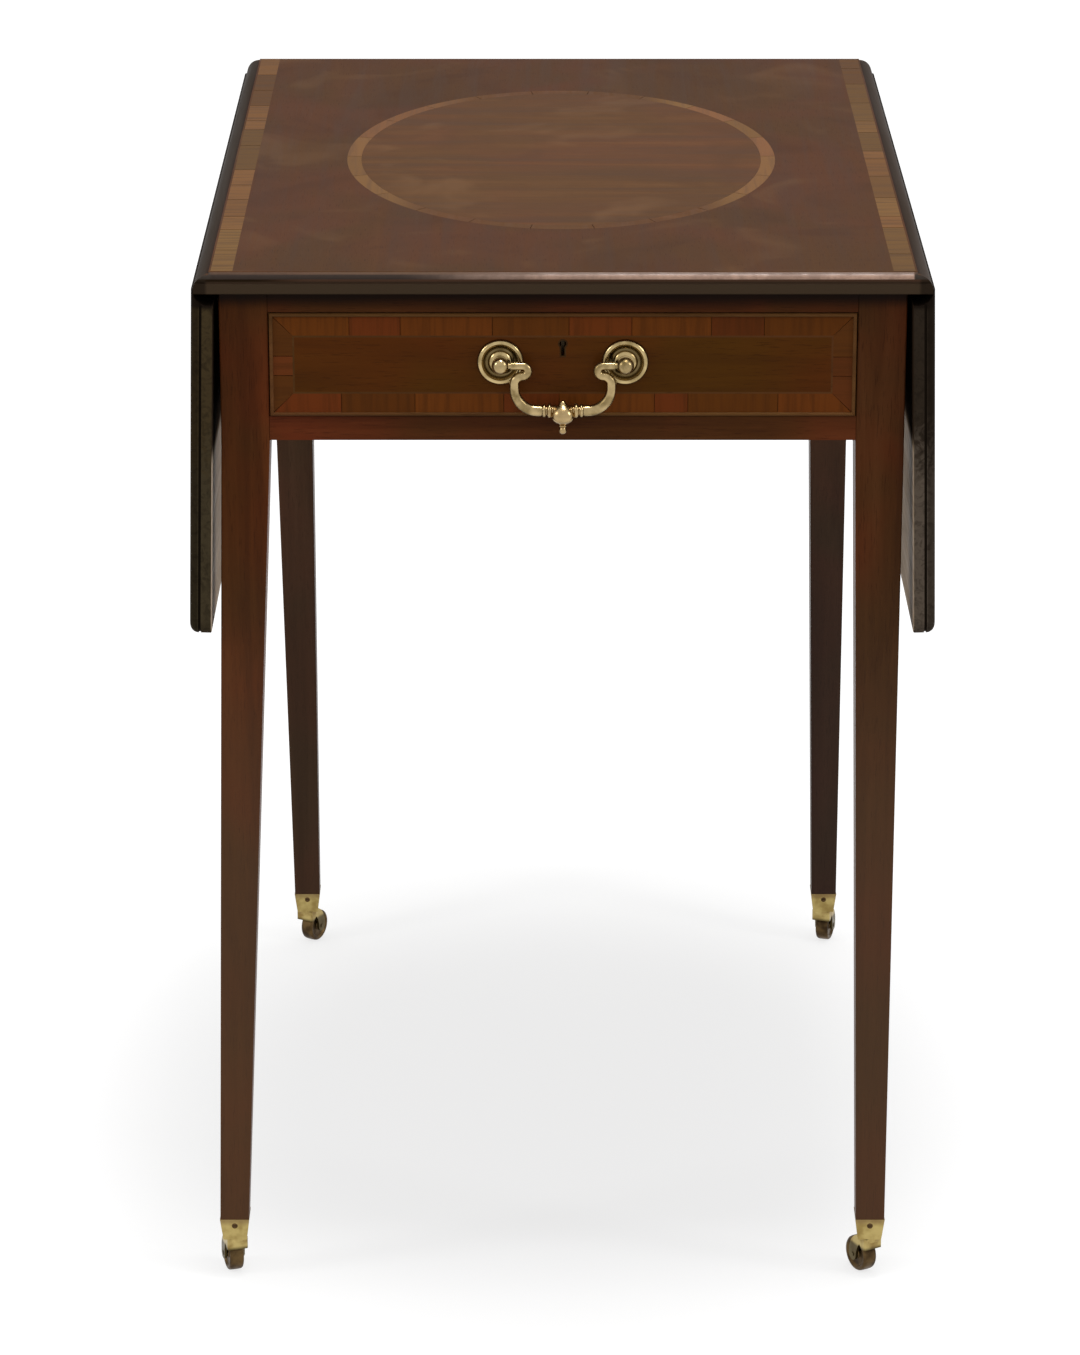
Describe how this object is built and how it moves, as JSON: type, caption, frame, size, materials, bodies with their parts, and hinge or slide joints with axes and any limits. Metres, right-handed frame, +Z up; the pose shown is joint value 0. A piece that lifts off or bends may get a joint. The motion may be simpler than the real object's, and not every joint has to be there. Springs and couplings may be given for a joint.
{
  "type": "pembroke table",
  "caption": "Small drop-leaf pembroke table with square tapered legs, an inlaid oval top, a frieze drawer with a brass swan-neck handle, and brass cup castors.",
  "frame": {"origin": "on the floor, under the middle of the top", "axes": "+X to the right as seen from the drawer end, +Y towards the back, +Z up"},
  "size_m": [0.4878, 0.648, 0.716],
  "materials": {
    "mahogany_top": "old polished mahogany",
    "mahogany_frame": "old polished mahogany",
    "crossbanding": "polished cross-grain veneer",
    "oval_veneer": "polished figured veneer",
    "oval_band": "polished cross-grain veneer",
    "string_line": "polished light line",
    "oak_lining": "dry old oak",
    "inner_wood": "unpolished",
    "handle_brass": "softly worn",
    "fitting_brass": "toned",
    "wheel_brass": "dark patina",
    "iron": "dark"
  },
  "bodies": {
    "frame": {"top_panel": "mahogany_top", "top_oval_panel": "oval_veneer", "top_oval_banding": "oval_band", "top_crossbanding": "crossbanding", "leg_front_left": "mahogany_frame", "leg_front_right": "mahogany_frame", "leg_rear_left": "mahogany_frame", "leg_rear_right": "mahogany_frame", "front_top_rail": "mahogany_frame", "front_drawer_rail": "mahogany_frame", "rear_frieze_rail": "mahogany_frame", "rear_cockbeading": "string_line", "rear_crossbanding": "crossbanding", "rear_stringing": "string_line", "side_inner_rail_left": "inner_wood", "side_inner_rail_right": "inner_wood", "side_outer_rail_left": "inner_wood", "side_outer_rail_right": "inner_wood", "drawer_runners": "inner_wood", "drawer_kickers": "inner_wood", "drawer_stops": "inner_wood", "hinge_pins": "iron", "top_hinge_flaps": "fitting_brass", "underside_screws": "iron", "castor_cups": "fitting_brass", "castor_cup_screws": "iron", "rear_handle_rosettes": "handle_brass", "rear_handle_bolts": "handle_brass"},
    "leaf_left": {"leaf_left": "mahogany_top", "leaf_crossbanding_left": "crossbanding", "leaf_hinge_flaps_left": "fitting_brass", "leaf_hinge_screws_left": "iron"},
    "leaf_right": {"leaf_right": "mahogany_top", "leaf_crossbanding_right": "crossbanding", "leaf_hinge_flaps_right": "fitting_brass", "leaf_hinge_screws_right": "iron"},
    "fly_left": {"fly_bracket_left": "inner_wood"},
    "fly_right": {"fly_bracket_right": "inner_wood"},
    "drawer": {"drawer_front": "mahogany_frame", "drawer_cockbeading": "string_line", "drawer_crossbanding": "crossbanding", "drawer_stringing": "string_line", "drawer_side_left": "oak_lining", "drawer_side_right": "oak_lining", "drawer_back": "oak_lining", "drawer_bottom": "oak_lining", "drawer_lock": "fitting_brass", "keyhole_escutcheon": "handle_brass", "drawer_handle_rosettes": "handle_brass", "drawer_handle_bolts": "handle_brass"},
    "drawer_bail": {"drawer_handle_bail": "handle_brass"},
    "rear_bail": {"rear_handle_bail": "handle_brass"},
    "castor_front_left_swivel": {"castor_horn_front_left": "fitting_brass"},
    "castor_front_left_wheel": {"castor_wheel_front_left": "wheel_brass"},
    "castor_front_right_swivel": {"castor_horn_front_right": "fitting_brass"},
    "castor_front_right_wheel": {"castor_wheel_front_right": "wheel_brass"},
    "castor_rear_left_swivel": {"castor_horn_rear_left": "fitting_brass"},
    "castor_rear_left_wheel": {"castor_wheel_rear_left": "wheel_brass"},
    "castor_rear_right_swivel": {"castor_horn_rear_right": "fitting_brass"},
    "castor_rear_right_wheel": {"castor_wheel_rear_right": "wheel_brass"}
  },
  "joints": [
    {"name": "leaf_left_fold", "type": "hinge", "parent": "frame", "child": "leaf_left", "pos_m": [-0.2265, 0, 0.7045], "axis": [0, 1, 0], "range_deg": [0, 88.53]},
    {"name": "leaf_right_fold", "type": "hinge", "parent": "frame", "child": "leaf_right", "pos_m": [0.2265, 0, 0.7045], "axis": [0, -1, 0], "range_deg": [0, 88.53]},
    {"name": "fly_left_swing", "type": "hinge", "parent": "frame", "child": "fly_left", "pos_m": [-0.2115, 0, 0.673], "axis": [0, 0, -1], "range_deg": [0, 1.2]},
    {"name": "fly_right_swing", "type": "hinge", "parent": "frame", "child": "fly_right", "pos_m": [0.2115, 0, 0.673], "axis": [0, 0, 1], "range_deg": [0, 1.2]},
    {"name": "drawer_slide", "type": "slide", "parent": "frame", "child": "drawer", "axis": [0, -1, 0], "range_m": [0, 0.4]},
    {"name": "drawer_bail_lift", "type": "hinge", "parent": "drawer", "child": "drawer_bail", "pos_m": [0, -0.317, 0.6546], "axis": [-1, 0, 0], "range_deg": [0, 90]},
    {"name": "rear_bail_lift", "type": "hinge", "parent": "frame", "child": "rear_bail", "pos_m": [0, 0.317, 0.6546], "axis": [1, 0, 0], "range_deg": [0, 90]},
    {"name": "castor_front_left_turn", "type": "hinge", "parent": "frame", "child": "castor_front_left_swivel", "pos_m": [-0.22375, -0.29725, 0.0277], "axis": [0, 0, 1], "continuous": true},
    {"name": "castor_front_left_roll", "type": "hinge", "parent": "castor_front_left_swivel", "child": "castor_front_left_wheel", "pos_m": [-0.22638, -0.28864, 0.0125], "axis": [-0.9563, -0.2924, 0], "continuous": true},
    {"name": "castor_front_right_turn", "type": "hinge", "parent": "frame", "child": "castor_front_right_swivel", "pos_m": [0.21125, -0.29725, 0.0277], "axis": [0, 0, 1], "continuous": true},
    {"name": "castor_front_right_roll", "type": "hinge", "parent": "castor_front_right_swivel", "child": "castor_front_right_wheel", "pos_m": [0.20675, -0.28946, 0.0125], "axis": [-0.866, -0.5, 0], "continuous": true},
    {"name": "castor_rear_left_turn", "type": "hinge", "parent": "frame", "child": "castor_rear_left_swivel", "pos_m": [-0.20005, 0.29725, 0.0277], "axis": [0, 0, 1], "continuous": true},
    {"name": "castor_rear_left_roll", "type": "hinge", "parent": "castor_rear_left_swivel", "child": "castor_rear_left_wheel", "pos_m": [-0.19555, 0.30504, 0.0125], "axis": [-0.866, 0.5, 0], "continuous": true},
    {"name": "castor_rear_right_turn", "type": "hinge", "parent": "frame", "child": "castor_rear_right_swivel", "pos_m": [0.21125, 0.29725, 0.0277], "axis": [0, 0, 1], "continuous": true},
    {"name": "castor_rear_right_roll", "type": "hinge", "parent": "castor_rear_right_swivel", "child": "castor_rear_right_wheel", "pos_m": [0.21403, 0.30581, 0.0125], "axis": [-0.9511, 0.309, 0], "continuous": true}
  ]
}
